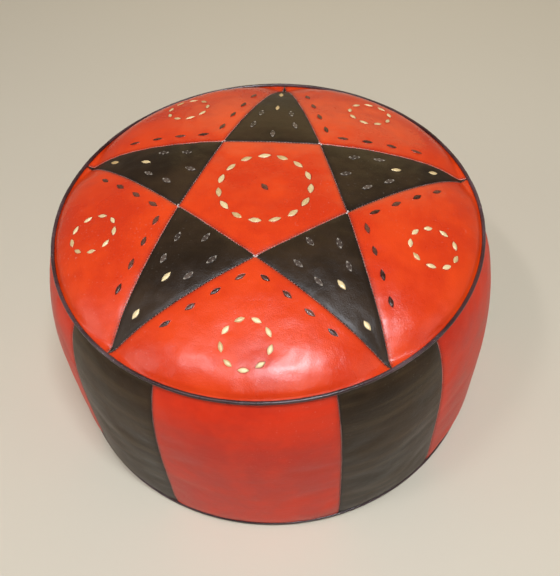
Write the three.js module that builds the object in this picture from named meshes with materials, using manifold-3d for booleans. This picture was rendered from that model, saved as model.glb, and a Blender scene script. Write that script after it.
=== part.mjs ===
import * as THREE from 'three'
import { mergeVertices } from 'three/addons/utils/BufferGeometryUtils.js'
import Module from 'manifold-3d'

// Round leather pouf. Millimetres, +Z up, resting on z = 0 with its axis on the Z axis.
// One tip of the five-pointed star points at +Y, so one red petal faces -Y.

const wasm = await Module()
wasm.setup()

// overall shape
const rimRadius = 250        // seam circle between the top and the side
const rimHeight = 260        // height of that seam above the floor
const domeRise = 47          // stuffed top above the seam
const flatShare = 0.27       // flat middle of the top, as a share of the rim radius
const sideBulge = 24         // how far the widest part of the side stands out past that seam
const sidePower = 5          // how late the side turns in to the rim
const baseTuck = 3           // how far the seam between side and base lies inside the widest part
const baseSeamHeight = 4

// leather and seams
const leatherThickness = 2
const clearance = 0.3        // air left between two neighbouring pieces
const rimPipingRadius = 2.2
const basePipingRadius = 1.6
const pipingLift = 0.7       // share of the bead's radius that stands off the seam line
const flangeThickness = 0.8  // the piping's tail between the two leathers it joins

// star, as shares of the rim radius
const pentagonShare = 0.398
const pointCount = 5
const blackPanelDegrees = 28.4   // width of a black side panel, the red ones take the rest

// lozenges of lace that show through slits in the top
const laceThickness = 0.6
const laceWidth = 5
const lozengeRise = 0.8
const centreRingShare = 0.209
const centreRingCount = 15
const centreRingLozenge = [15.5, 7]
const middleLozenge = [13, 6]
const middleLozengeTurn = 45
const petalRingShare = 0.79      // distance of each petal's ring from the axis
const petalRingRadiusShare = 0.1
const petalRingCount = 9
const petalRingLozenge = [12, 6]
const rowLozenge = [14, 6]
const rowCount = 4
const rowStartShare = [0.052, 0.507]   // first lozenge of a row: aside from and along the petal's axis
const rowStepShare = [0.0965, 0.0685]
const pointLozenge = [14, 6]
const pointBaseShare = 0.382
const pointInnerShare = [0.103, 0.453]  // aside from and along the point's axis
const pointOuterShare = [0.0755, 0.567]
const pointApexShare = 0.625
const pointTipShare = 0.815

// zip in the base, along X
const zipLength = 300
const slotWidth = 18
const tapeThickness = 0.8
const tapeWidth = 18
const teethThickness = 2.8
const teethWidth = 3.4
const toothPitch = 7.5
const toothLength = 4.5
const toothDepth = 1.2
const rowGap = 1.8               // slot between the two rows of teeth
const bridgeThickness = 1
const plateThickness = 1.3
const sliderLength = 15
const lipThickness = 0.8
const stopLength = 4
const floorClearance = 0.4
const lugLength = 4
const lugWidth = 2.6
const lugHeight = 2.6
const pinRadius = 0.6
const pinPlay = 0.1
const pullLength = 25
const pullWidth = 8
const pullThickness = 1.2
const pullArmWidth = 1.6
const pullHoleRadius = 1.6

const turns = 40                 // facets round the pouf
const rimPipingSides = 6
const basePipingSides = 6
const pinSides = 16
const holeSides = 12
const mergeDistance = 1e-5
const domeShares = [0, 0.3, 0.57, 0.8, 1]          // steps of the top from its flat middle to the rim
const sideShares = [1, 0.92, 0.8, 0.62, 0.13]      // steps of the side from the rim down
const bulgeRadius = rimRadius + sideBulge
const baseRadius = bulgeRadius - baseTuck
const inner = leatherThickness + clearance
const origin = new THREE.Vector2(0, 0)

// positions of the zip's parts, measured up from the floor
const hingeHeight = floorClearance + lugHeight / 2
const lowerPlateBottom = floorClearance + lugHeight
const lowerPlateTop = lowerPlateBottom + plateThickness
const teethBottom = lowerPlateTop + clearance
const teethTop = teethBottom + teethThickness
const upperPlateBottom = teethTop + clearance
const upperPlateTop = upperPlateBottom + plateThickness
const tapeBottom = (teethBottom + teethTop - tapeThickness) / 2
const facingTop = tapeBottom - clearance
const teethOuter = rowGap / 2 + teethWidth
const sliderHalfWidth = teethOuter + clearance + lipThickness
const topStopX = zipLength / 2 - pullLength + sliderLength / 2 - clearance
const sliderX = topStopX - sliderLength / 2 - clearance
const bottomStopX = -topStopX   // the pull swung over needs as much room here as at the closed end

const leatherRed = { color: 0xd43a16, roughness: 0.42, metalness: 0 }
const leatherBlack = { color: 0x2c211b, roughness: 0.45, metalness: 0 }
const leatherPiping = { color: 0x4a2a24, roughness: 0.4, metalness: 0 }
const leatherBase = { color: 0x3a2418, roughness: 0.7, metalness: 0 }
const goldLace = { color: 0xdcb46a, roughness: 0.35, metalness: 0.4 }
const darkLace = { color: 0x5a3a28, roughness: 0.45, metalness: 0.1 }
const cottonTape = { color: 0x201b18, roughness: 0.9, metalness: 0 }
const brass = { color: 0xb08d57, roughness: 0.35, metalness: 1 }
const cotton = { color: 0xe4dcc8, roughness: 0.95, metalness: 0 }

const group = new THREE.Group()
group.name = 'leather_pouf'

function addPiece(name, solid, look) {
  const mesh = new THREE.Mesh(solidToGeometry(solid), new THREE.MeshStandardMaterial(look))
  mesh.name = name
  group.add(mesh)
}

function geometryToSolid(geometry) {
  const plain = geometry.clone()
  plain.deleteAttribute('normal')
  plain.deleteAttribute('uv')
  const merged = mergeVertices(plain, mergeDistance)
  const vertProperties = new Float32Array(merged.attributes.position.array)
  const triVerts = new Uint32Array(merged.index.array)
  return new wasm.Manifold(new wasm.Mesh({ numProp: 3, vertProperties, triVerts }))
}

function solidToGeometry(solid) {
  const mesh = solid.getMesh()
  const geometry = new THREE.BufferGeometry()
  geometry.setAttribute('position', new THREE.BufferAttribute(new Float32Array(mesh.vertProperties), 3))
  geometry.setIndex(new THREE.BufferAttribute(new Uint32Array(mesh.triVerts), 1))
  const split = geometry.toNonIndexed()
  split.computeVertexNormals()
  return split
}

// a plan outline raised into a prism between two heights
function prism(outline, bottom, top) {
  const shape = new THREE.Shape(outline)
  const geometry = new THREE.ExtrudeGeometry(shape, { depth: top - bottom, bevelEnabled: false })
  geometry.translate(0, 0, bottom)
  return geometryToSolid(geometry)
}

function tallPrism(outline) {
  return prism(outline, -rimHeight, 2 * (rimHeight + domeRise))
}

function rectangle(x0, x1, y0, y1) {
  return [
    new THREE.Vector2(x0, y0),
    new THREE.Vector2(x1, y0),
    new THREE.Vector2(x1, y1),
    new THREE.Vector2(x0, y1)
  ]
}

function block(x0, x1, y0, y1, z0, z1) {
  return prism(rectangle(x0, x1, y0, y1), z0, z1)
}

function lathe(profile) {
  const geometry = new THREE.LatheGeometry(profile, turns)
  geometry.rotateX(Math.PI / 2)
  return geometryToSolid(geometry)
}

// outside of the pouf as points of radius and height, from the top of the axis to its foot
function topLine() {
  const crown = new THREE.Vector2(0, rimHeight + domeRise)
  return [crown].concat(domeShares.map((share) => new THREE.Vector2(
    (flatShare + share * (1 - flatShare)) * rimRadius,
    rimHeight + domeRise * (1 - share ** 2)
  )))
}

function sideRadius(height) {
  return rimRadius + (bulgeRadius - rimRadius) * (1 - (height / rimHeight) ** sidePower)
}

function sideLine() {
  const heights = sideShares.map((share) => share * rimHeight)
  const line = heights.map((height) => new THREE.Vector2(sideRadius(height), height))
  line.push(new THREE.Vector2(baseRadius, baseSeamHeight))
  return line
}

function baseLine() {
  return [
    new THREE.Vector2(baseRadius, baseSeamHeight),
    new THREE.Vector2(baseRadius - 1.5 * baseSeamHeight, 0),
    new THREE.Vector2(0, 0)
  ]
}

const rimIndex = topLine().length - 1
const baseIndex = rimIndex + sideLine().length - 1
const outline = topLine().concat(sideLine().slice(1), baseLine().slice(1))

// direction straight into the pouf at one point of the outline, and how far a mitred corner stretches it
function inwardAt(index) {
  const point = outline[index]
  const into = point.clone().sub(outline[Math.max(index - 1, 0)])
  const out = outline[Math.min(index + 1, outline.length - 1)].clone().sub(point)
  const before = index === 0 ? out.clone().normalize() : into.normalize()
  const after = index === outline.length - 1 ? before : out.normalize()
  const along = before.clone().add(after).normalize()
  const stretch = 1 / Math.cos(before.angleTo(after) / 2)
  return { inward: new THREE.Vector2(along.y, -along.x), stretch }
}

// part of the outline moved inward (or outward, when negative) by one depth
function sunken(depth, from, to) {
  const line = []
  for (let i = from; i <= to; i++) {
    const { inward, stretch } = inwardAt(i)
    line.push(outline[i].clone().addScaledVector(inward, depth * stretch))
  }
  return line
}

// a skin that follows part of the outline between two depths
function skin(from, to, outerDepth, innerDepth) {
  const outer = sunken(outerDepth, from, to)
  const profile = outer.concat(sunken(innerDepth, from, to).reverse())
  if (profile[0].x > 0 && profile[profile.length - 1].x > 0) {
    profile.push(profile[0].clone())
  }
  return lathe(profile.reverse())
}

// piping on a round seam: a bead outside the seam and a tail that runs in between the leathers
function piping(index, beadRadius, sides, margin) {
  const { inward } = inwardAt(index)
  const centre = outline[index].clone().addScaledVector(inward, -pipingLift * beadRadius)
  const profile = []
  for (let i = 0; i < sides; i++) {
    profile.push(polar(beadRadius + margin, (2 * Math.PI * i) / sides).add(centre))
  }
  profile.push(profile[0].clone())
  const tailEnd = outline[index].clone().addScaledVector(inward, leatherThickness + margin)
  const half = new THREE.Vector2(-inward.y, inward.x).multiplyScalar(flangeThickness / 2 + margin)
  const tail = [centre.clone().add(half), centre.clone().sub(half), tailEnd.clone().sub(half)]
  tail.push(tailEnd.clone().add(half), tail[0].clone())
  return lathe(profile).add(lathe(tail))
}

// a point given aside from and along an axis that leaves the centre at one angle
function placed(aside, along, axisAngle) {
  return new THREE.Vector2(along, aside).rotateAround(origin, axisAngle)
}

function polar(radius, angle) {
  return new THREE.Vector2(radius * Math.cos(angle), radius * Math.sin(angle))
}

// a counter-clockwise outline with every edge moved inward
function inset(outline, distance) {
  const edges = outline.map((point, index) => {
    const next = outline[(index + 1) % outline.length]
    const along = next.clone().sub(point).normalize()
    const inward = new THREE.Vector2(-along.y, along.x)
    return { start: point.clone().addScaledVector(inward, distance), along }
  })
  return edges.map((edge, index) => {
    const previous = edges[(index + edges.length - 1) % edges.length]
    const across = previous.along.cross(edge.along)
    const between = edge.start.clone().sub(previous.start)
    const reach = between.cross(edge.along) / across
    return previous.start.clone().addScaledVector(previous.along, reach)
  })
}

// a lozenge centred on one point and turned along an angle, with every edge moved out by a margin
function lozengeOutline(centre, size, angle, margin) {
  const outline = [
    new THREE.Vector2(-size[0] / 2, 0),
    new THREE.Vector2(0, -size[1] / 2),
    new THREE.Vector2(size[0] / 2, 0),
    new THREE.Vector2(0, size[1] / 2)
  ]
  return inset(outline, -margin).map((point) => point.rotateAround(origin, angle).add(centre))
}

// a strip of lace along a row of points, open at both ends
function stripOutline(points, width) {
  const left = []
  const right = []
  points.forEach((point, index) => {
    const before = points[Math.max(index - 1, 0)]
    const after = points[Math.min(index + 1, points.length - 1)]
    const into = point.clone().sub(before).normalize()
    const out = after.clone().sub(point).normalize()
    const along = into.clone().add(out).normalize()
    const isEnd = index === 0 || index === points.length - 1
    const stretch = isEnd ? 1 : 1 / Math.cos(into.angleTo(out) / 2)
    const side = new THREE.Vector2(-along.y, along.x).multiplyScalar((width / 2) * stretch)
    left.push(point.clone().add(side))
    right.push(point.clone().sub(side))
  })
  return right.concat(left.reverse())
}

function ringSolid(centre, radius, width, sides, turn) {
  const outer = []
  const hole = []
  for (let i = 0; i < sides; i++) {
    const angle = turn + (2 * Math.PI * i) / sides
    outer.push(polar(radius + width / 2, angle).add(centre))
    hole.push(polar(radius - width / 2, angle).add(centre))
  }
  return tallPrism(outer).subtract(tallPrism(hole))
}

const laceDepth = inner + laceThickness
const lozengeSkin = skin(0, rimIndex, -lozengeRise, laceDepth)
const stripSkin = skin(0, rimIndex, inner, laceDepth)
const slitPrisms = []

// one run of lace: a strip under the leather that comes up through every slit
function addLace(name, lozenges, strip, look) {
  let run = strip.intersect(stripSkin)
  lozenges.forEach(({ centre, size, angle }) => {
    run = run.add(tallPrism(lozengeOutline(centre, size, angle, 0)).intersect(lozengeSkin))
    const slit = tallPrism(lozengeOutline(centre, size, angle, clearance))
    slitPrisms.push({ centre, slit })
  })
  addPiece(name, run, look)
}

function addLaceStrip(name, lozenges, points, look) {
  const strip = tallPrism(stripOutline(extended(points, laceWidth), laceWidth))
  addLace(name, lozenges, strip, look)
}

// the same row of points with its two ends carried further on
function extended(points, distance) {
  const result = points.map((point) => point.clone())
  const last = result.length - 1
  result[0].add(points[0].clone().sub(points[1]).setLength(distance))
  result[last].add(points[last].clone().sub(points[last - 1]).setLength(distance))
  return result
}

function addLaceRing(name, centre, radius, count, size, turn, look) {
  const lozenges = []
  for (let i = 0; i < count; i++) {
    const angle = turn + (2 * Math.PI * i) / count
    lozenges.push({ centre: polar(radius, angle).add(centre), size, angle: angle + Math.PI / 2 })
  }
  addLace(name, lozenges, ringSolid(centre, radius, laceWidth, count, turn), look)
}

const tipAngle = (index) => Math.PI / 2 + (2 * Math.PI * index) / pointCount
const petalAngle = (index) => tipAngle(index) + Math.PI / pointCount

// lace of the centre
addLaceRing(
  'centre_ring_lace', origin, centreRingShare * rimRadius, centreRingCount, centreRingLozenge, 0, goldLace
)
const middleTurn = -THREE.MathUtils.degToRad(middleLozengeTurn)
const middleHalf = polar(middleLozenge[0] / 4, middleTurn)
addLaceStrip(
  'middle_lace',
  [{ centre: origin, size: middleLozenge, angle: middleTurn }],
  [middleHalf.clone().negate(), middleHalf],
  darkLace
)

// lace of each petal: a ring near the rim and a row along each side of the V
for (let i = 0; i < pointCount; i++) {
  const axis = petalAngle(i)
  const ringCentre = polar(petalRingShare * rimRadius, axis)
  addLaceRing(
    `petal_ring_lace_${i + 1}`, ringCentre, petalRingRadiusShare * rimRadius,
    petalRingCount, petalRingLozenge, axis, goldLace
  )
  const slope = Math.atan2(rowStepShare[0], rowStepShare[1])
  const rows = []
  const lozenges = []
  for (const side of [-1, 1]) {
    const row = []
    for (let step = 0; step < rowCount; step++) {
      const aside = side * (rowStartShare[0] + step * rowStepShare[0]) * rimRadius
      const along = (rowStartShare[1] + step * rowStepShare[1]) * rimRadius
      const centre = placed(aside, along, axis)
      row.push(centre)
      lozenges.push({ centre, size: rowLozenge, angle: axis + side * slope })
    }
    rows.push(row)
  }
  const turnShare = rowStartShare[1] - (rowStartShare[0] * rowStepShare[1]) / rowStepShare[0]
  const turnPoint = placed(0, turnShare * rimRadius, axis)
  addLaceStrip(
    `petal_row_lace_${i + 1}`, lozenges, rows[0].reverse().concat([turnPoint], rows[1]), darkLace
  )
}

// lace of each star point: five dark lozenges round its root, two gold ones towards the tip
for (let i = 0; i < pointCount; i++) {
  const axis = tipAngle(i)
  const spot = (share, side) => placed(side * share[0] * rimRadius, share[1] * rimRadius, axis)
  const narrowing = pointInnerShare[0] - pointOuterShare[0]
  const lean = Math.atan2(narrowing, pointOuterShare[1] - pointInnerShare[1])
  const root = polar(pointBaseShare * rimRadius, axis)
  const darkRow = [
    spot(pointOuterShare, -1),
    spot(pointInnerShare, -1),
    root,
    spot(pointInnerShare, 1),
    spot(pointOuterShare, 1)
  ]
  const darkAngles = [axis + lean, axis + lean, axis, axis - lean, axis - lean]
  const darkLozenges = darkRow.map((centre, index) => {
    return { centre, size: pointLozenge, angle: darkAngles[index] }
  })
  addLaceStrip(`point_dark_lace_${i + 1}`, darkLozenges, darkRow, darkLace)
  const goldRow = [polar(pointApexShare * rimRadius, axis), polar(pointTipShare * rimRadius, axis)]
  const goldLozenges = goldRow.map((centre) => ({ centre, size: pointLozenge, angle: axis }))
  addLaceStrip(`point_gold_lace_${i + 1}`, goldLozenges, goldRow, goldLace)
}

// piping of the two round seams, and the room it takes out of the leather
const rimRoom = piping(rimIndex, rimPipingRadius, rimPipingSides, clearance)
const baseRoom = piping(baseIndex, basePipingRadius, basePipingSides, clearance)
addPiece('rim_piping', piping(rimIndex, rimPipingRadius, rimPipingSides, 0), leatherPiping)
addPiece('base_piping', piping(baseIndex, basePipingRadius, basePipingSides, 0), leatherPiping)

// top: centre pentagon, five star points, five petals
const topSkin = skin(0, rimIndex, 0, leatherThickness).subtract(rimRoom)

function addTopPanel(name, outline, look) {
  const cut = inset(outline, clearance / 2)
  let panel = topSkin.intersect(tallPrism(cut))
  const shape = outline.map((point) => [point.x, point.y])
  slitPrisms.forEach(({ centre, slit }) => {
    if (isInside(shape, centre.x, centre.y)) {
      panel = panel.subtract(slit)
    }
  })
  addPiece(name, panel, look)
}

function isInside(shape, x, y) {
  let inside = false
  shape.forEach(([x1, y1], index) => {
    const [x2, y2] = shape[(index + 1) % shape.length]
    const crosses = y1 > y !== y2 > y
    if (crosses && x < ((x2 - x1) * (y - y1)) / (y2 - y1) + x1) {
      inside = !inside
    }
  })
  return inside
}

const pentagonRadius = pentagonShare * rimRadius
const pentagonCorners = []
for (let i = 0; i < pointCount; i++) {
  pentagonCorners.push(polar(pentagonRadius, petalAngle(i)))
}
addTopPanel('centre_pentagon', pentagonCorners, leatherRed)
for (let i = 0; i < pointCount; i++) {
  const before = polar(pentagonRadius, petalAngle(i - 1))
  const after = polar(pentagonRadius, petalAngle(i))
  addTopPanel(`star_point_${i + 1}`, [before, polar(rimRadius, tipAngle(i)), after], leatherBlack)
}
for (let i = 0; i < pointCount; i++) {
  const outside = 1.3 * rimRadius
  addTopPanel(`petal_${i + 1}`, [
    polar(pentagonRadius, petalAngle(i)),
    polar(rimRadius, tipAngle(i)),
    polar(outside, tipAngle(i)),
    polar(outside, petalAngle(i)),
    polar(outside, tipAngle(i + 1)),
    polar(rimRadius, tipAngle(i + 1))
  ].reverse(), leatherRed)
}

// side: a narrow black panel under every star tip, a wide red one under every petal
const sideSkin = skin(rimIndex, baseIndex, 0, leatherThickness).subtract(rimRoom).subtract(baseRoom)
const blackWidth = THREE.MathUtils.degToRad(blackPanelDegrees)
const redWidth = (2 * Math.PI) / pointCount - blackWidth

function addSidePanel(name, axis, width, look) {
  const outside = 2 * bulgeRadius
  const wedge = [
    origin.clone(),
    polar(outside, axis - width / 2),
    polar(outside, axis),
    polar(outside, axis + width / 2)
  ]
  addPiece(name, sideSkin.intersect(tallPrism(inset(wedge, clearance / 2))), look)
}

for (let i = 0; i < pointCount; i++) {
  addSidePanel(`side_panel_black_${i + 1}`, tipAngle(i), blackWidth, leatherBlack)
  addSidePanel(`side_panel_red_${i + 1}`, petalAngle(i), redWidth, leatherRed)
}

// base: two half discs that leave a slot for the zip between them
const slotHalf = zipLength / 2
const baseSkin = skin(baseIndex, outline.length - 1, 0, leatherThickness).subtract(baseRoom)
const slot = block(
  -slotHalf, slotHalf, -slotWidth / 2, slotWidth / 2, -leatherThickness, 2 * leatherThickness
)
for (const [name, side] of [['front', -1], ['back', 1]]) {
  const reach = 2 * bulgeRadius
  const near = (side * clearance) / 2
  const far = side * reach
  const half = block(-reach, reach, Math.min(near, far), Math.max(near, far), -rimHeight, rimHeight)
  addPiece(`base_panel_${name}`, baseSkin.intersect(half).subtract(slot), leatherBase)
}

// a bar on one side of the zip, given for the back and mirrored for the front
function sideBar(side, x0, x1, y0, y1, z0, z1) {
  return side > 0 ? block(x0, x1, y0, y1, z0, z1) : block(x0, x1, -y1, -y0, z0, z1)
}

function teethOutline(side) {
  const x0 = bottomStopX + clearance
  const x1 = topStopX - clearance
  const innerEdge = rowGap / 2
  const rootEdge = innerEdge + toothDepth
  const count = Math.floor((x1 - x0) / toothPitch)
  const start = (x0 + x1 - count * toothPitch) / 2
  const outline = [new THREE.Vector2(x1, side * teethOuter), new THREE.Vector2(x0, side * teethOuter)]
  outline.push(new THREE.Vector2(x0, side * rootEdge))
  for (let i = 0; i < count; i++) {
    const from = start + i * toothPitch + (toothPitch - toothLength) / 2
    const to = from + toothLength
    outline.push(new THREE.Vector2(from, side * rootEdge))
    outline.push(new THREE.Vector2(from, side * innerEdge))
    outline.push(new THREE.Vector2(to, side * innerEdge))
    outline.push(new THREE.Vector2(to, side * rootEdge))
  }
  outline.push(new THREE.Vector2(x1, side * rootEdge))
  return outline
}

const tapeReach = slotHalf + tapeWidth / 2
const tapeInner = teethOuter + clearance
for (const [name, side] of [['front', -1], ['back', 1]]) {
  const tapeOuter = tapeInner + tapeWidth
  addPiece(
    `zip_facing_${name}`,
    sideBar(side, -tapeReach, tapeReach, slotWidth / 2, tapeOuter, inner, facingTop),
    leatherBase
  )
  addPiece(
    `zip_tape_${name}`,
    sideBar(side, -tapeReach, tapeReach, tapeInner, tapeOuter, tapeBottom, tapeBottom + tapeThickness),
    cottonTape
  )
  addPiece(`zip_teeth_${name}`, prism(teethOutline(side), teethBottom, teethTop), brass)
  addPiece(
    `zip_top_stop_${name}`,
    sideBar(side, topStopX, topStopX + stopLength, rowGap / 2, teethOuter, teethBottom, teethTop),
    brass
  )
}
addPiece(
  'zip_bottom_stop',
  block(bottomStopX - stopLength, bottomStopX, -teethOuter, teethOuter, teethBottom, teethTop),
  brass
)

// slider: two plates joined by a bridge between the rows, with lips outside the teeth and a lug below
const sliderBack = sliderX - sliderLength / 2
const sliderFront = sliderX + sliderLength / 2
const lipReach = tapeBottom - clearance - lowerPlateTop
let slider = block(
  sliderBack, sliderFront, -sliderHalfWidth, sliderHalfWidth, lowerPlateBottom, lowerPlateTop
)
slider = slider.add(
  block(sliderBack, sliderFront, -sliderHalfWidth, sliderHalfWidth, upperPlateBottom, upperPlateTop)
)
const bridgeHalf = sliderLength / 4
slider = slider.add(block(
  sliderX - bridgeHalf, sliderX + bridgeHalf, -bridgeThickness / 2, bridgeThickness / 2,
  lowerPlateBottom, upperPlateTop
))
for (const side of [-1, 1]) {
  const lipInner = sliderHalfWidth - lipThickness
  slider = slider.add(sideBar(
    side, sliderBack, sliderFront, lipInner, sliderHalfWidth,
    lowerPlateBottom, lowerPlateTop + lipReach
  ))
  slider = slider.add(sideBar(
    side, sliderBack, sliderFront, lipInner, sliderHalfWidth,
    upperPlateBottom - lipReach, upperPlateTop
  ))
}
const lug = block(
  sliderX - lugLength / 2, sliderX + lugLength / 2, -lugWidth / 2, lugWidth / 2,
  floorClearance, lowerPlateBottom + plateThickness / 2
)

// a short round bar along Y
function crossBar(x, z, radius, halfWidth) {
  const geometry = new THREE.CylinderGeometry(radius, radius, 2 * halfWidth, pinSides)
  geometry.translate(x, 0, z)
  return geometryToSolid(geometry)
}

const lugHole = crossBar(sliderX, hingeHeight, pinRadius + pinPlay, lugWidth)
addPiece('zip_slider', slider.add(lug.subtract(lugHole)), brass)

// pull: a tab with a window for the lug and a pin across it, lying flat along the closed end
const pullBottom = hingeHeight - pullThickness / 2
const pullTop = hingeHeight + pullThickness / 2
const windowReach = Math.hypot(lugLength / 2, lugHeight / 2) + clearance
const windowHalf = lugWidth / 2 + clearance
const armOuter = windowHalf + pullArmWidth
const windowEnd = sliderX + windowReach
const pullEnd = sliderX + pullLength
let pull = block(sliderX - pinRadius, windowEnd + pullArmWidth, -armOuter, armOuter, pullBottom, pullTop)
pull = pull.subtract(block(
  sliderX - 2 * pinRadius, windowEnd, -windowHalf, windowHalf, pullBottom - clearance, pullTop + clearance
))
pull = pull.add(crossBar(sliderX, hingeHeight, pinRadius, armOuter))
const tab = [
  new THREE.Vector2(windowEnd, -pullWidth / 4),
  new THREE.Vector2((windowEnd + pullEnd) / 2, -pullWidth / 2),
  new THREE.Vector2(pullEnd - pullWidth / 4, -pullWidth / 2),
  new THREE.Vector2(pullEnd, -pullWidth / 4),
  new THREE.Vector2(pullEnd, pullWidth / 4),
  new THREE.Vector2(pullEnd - pullWidth / 4, pullWidth / 2),
  new THREE.Vector2((windowEnd + pullEnd) / 2, pullWidth / 2),
  new THREE.Vector2(windowEnd, pullWidth / 4)
]
const pullHole = new THREE.CylinderGeometry(pullHoleRadius, pullHoleRadius, 2 * pullWidth, holeSides)
pullHole.rotateX(Math.PI / 2)
pullHole.translate(pullEnd - pullWidth / 2, 0, hingeHeight)
pull = pull.add(prism(tab, pullBottom, pullTop)).subtract(geometryToSolid(pullHole))
addPiece('zip_pull', pull, brass)

// stuffing: one soft filling that backs every panel, with a pocket over the zip
const stuffing = lathe(stuffingProfile())
const zipPocket = block(
  -tapeReach - clearance, tapeReach + clearance,
  -(tapeInner + tapeWidth + clearance), tapeInner + tapeWidth + clearance,
  0, upperPlateTop + clearance
)
addPiece('stuffing', stuffing.subtract(zipPocket), cotton)

// the stuffing lies under the lace at the top and against the leather at the side and base
function stuffingProfile() {
  const crown = sunken(laceDepth + clearance, 0, rimIndex)
  return crown.concat(sunken(inner, rimIndex + 1, outline.length - 1)).reverse()
}

export default group
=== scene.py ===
import math
import random

import bpy
from mathutils import Matrix, Vector, noise
from mathutils.bvhtree import BVHTree
from mathutils.kdtree import KDTree


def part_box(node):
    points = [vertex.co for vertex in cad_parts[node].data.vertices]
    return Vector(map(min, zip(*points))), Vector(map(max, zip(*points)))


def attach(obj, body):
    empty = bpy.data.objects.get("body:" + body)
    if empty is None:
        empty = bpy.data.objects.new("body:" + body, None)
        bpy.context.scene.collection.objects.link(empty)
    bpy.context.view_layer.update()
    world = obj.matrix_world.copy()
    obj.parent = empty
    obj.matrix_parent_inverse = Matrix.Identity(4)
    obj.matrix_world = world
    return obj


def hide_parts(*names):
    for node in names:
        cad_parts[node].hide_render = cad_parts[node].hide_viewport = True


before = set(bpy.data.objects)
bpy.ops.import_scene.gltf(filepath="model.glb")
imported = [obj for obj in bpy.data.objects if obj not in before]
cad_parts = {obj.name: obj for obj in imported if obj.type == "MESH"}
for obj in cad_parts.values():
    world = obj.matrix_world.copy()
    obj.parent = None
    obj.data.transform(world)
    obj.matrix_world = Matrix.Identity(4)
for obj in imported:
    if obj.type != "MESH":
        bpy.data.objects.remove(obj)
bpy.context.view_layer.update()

# outline of the pouf, in metres, as its frame was drawn
pouf = {
    "rimRadius": 0.250,
    "rimHeight": 0.260,
    "crown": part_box("centre_pentagon")[1].z,
    "flatShare": 0.27,
    "bulge": 0.274,
    "sidePower": 5,
    "tuck": 0.003,
    "tuckHeight": 0.034,
    "leather": 0.002,
    "pentagonShare": 0.398,
    "tipRadius": 0.2502,      # star tips and petals reach under the piping
    "blackDegrees": 28.4,
}
tipAngles = [math.pi / 2 + i * math.tau / 5 for i in range(5)]
petalAngles = [a + math.pi / 5 for a in tipAngles]


def polar(radius, angle):
    return Vector((radius * math.cos(angle), radius * math.sin(angle)))


def domeHeight(radius):
    share = max(0.0, (radius / pouf["rimRadius"] - pouf["flatShare"]) / (1 - pouf["flatShare"]))
    return pouf["rimHeight"] + (pouf["crown"] - pouf["rimHeight"]) * (1 - share * share)


def domeNormal(x, y):
    radius = math.hypot(x, y)
    step = 0.0005
    slope = (domeHeight(radius + step) - domeHeight(max(0, radius - step))) / (2 * step)
    if radius < 1e-6:
        return Vector((0, 0, 1))
    return Vector((-slope * x / radius, -slope * y / radius, 1)).normalized()


def sideRadius(z):
    share = z / pouf["rimHeight"]
    radius = pouf["rimRadius"] + (pouf["bulge"] - pouf["rimRadius"]) * (1 - share ** pouf["sidePower"])
    if z < pouf["tuckHeight"]:
        radius -= pouf["tuck"] * (1 - z / pouf["tuckHeight"]) ** 2
    return radius


def sideNormal(angle, z):
    slope = (sideRadius(z + 0.001) - sideRadius(z - 0.001)) / 0.002
    return Vector((math.cos(angle), math.sin(angle), -slope)).normalized()


pentagonCorners = [polar(pouf["pentagonShare"] * pouf["rimRadius"], a) for a in petalAngles]
starTips = [polar(pouf["tipRadius"], a) for a in tipAngles]
topSeams = []                              # pairs of plan points
for i in range(5):
    topSeams.append((pentagonCorners[i - 1], pentagonCorners[i]))
    topSeams.append((pentagonCorners[i - 1], starTips[i]))
    topSeams.append((pentagonCorners[i], starTips[i]))
halfBlack = math.radians(pouf["blackDegrees"] / 2)
sideSeams = [a + side * halfBlack for a in tipAngles for side in (-1, 1)]


def alongSeam(point, seam):
    # distance to the seam and how far along it the point lies
    start, end = seam
    length = (end - start).length
    forward = (end - start).normalized()
    run = (point - start).dot(forward)
    nearest = start + forward * min(max(run, 0), length)
    return (point - nearest).length, run


def nearestTopSeam(point):
    return min((alongSeam(point, seam) for seam in topSeams), key=lambda pair: pair[0])


def turnBetween(a, b):
    return (a - b + math.pi) % math.tau - math.pi


def toNearest(angle, angles):
    return min(abs(turnBetween(angle, other)) for other in angles)


# small helpers for modelling by hand

def deselectAll():
    if bpy.context.object and bpy.context.object.mode != "OBJECT":
        bpy.ops.object.mode_set(mode="OBJECT")
    bpy.ops.object.select_all(action="DESELECT")


def takeNew(name):
    piece = bpy.context.object
    piece.name = name
    piece.data.name = name
    return piece


def addPrimitive(name, kind, **sizes):
    deselectAll()
    getattr(bpy.ops.mesh, f"primitive_{kind}_add")(**sizes)
    return takeNew(name)


def startEdit(action="SELECT"):
    bpy.ops.object.mode_set(mode="EDIT")
    bpy.ops.mesh.select_all(action=action)


def endEdit():
    bpy.ops.object.mode_set(mode="OBJECT")


def makeActive(piece):
    deselectAll()
    bpy.context.view_layer.objects.active = piece
    piece.select_set(True)


def addModifier(piece, name, kind, **settings):
    modifier = piece.modifiers.new(name, kind)
    for label, value in settings.items():
        setattr(modifier, label, value)


def applyAll(piece):
    makeActive(piece)
    for modifier in list(piece.modifiers):
        bpy.ops.object.modifier_apply(modifier=modifier.name)


def settle(piece):
    makeActive(piece)
    bpy.ops.object.transform_apply(location=True, rotation=True, scale=True)


def copyTo(source, place):
    copy = bpy.data.objects.new(source.name, source.data.copy())
    bpy.context.collection.objects.link(copy)
    copy.data.transform(place)
    return copy


def joinPieces(pieces, name):
    deselectAll()
    for piece in pieces:
        piece.select_set(True)
    bpy.context.view_layer.objects.active = pieces[0]
    if len(pieces) > 1:
        bpy.ops.object.join()
    return takeNew(name)


def smoothShade(piece, degrees=40):
    makeActive(piece)
    bpy.ops.object.shade_smooth_by_angle(angle=math.radians(degrees))


def floatAttribute(piece, name, values):
    layer = piece.data.attributes.new(name, "FLOAT", "POINT")
    layer.data.foreach_set("value", values)


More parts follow.
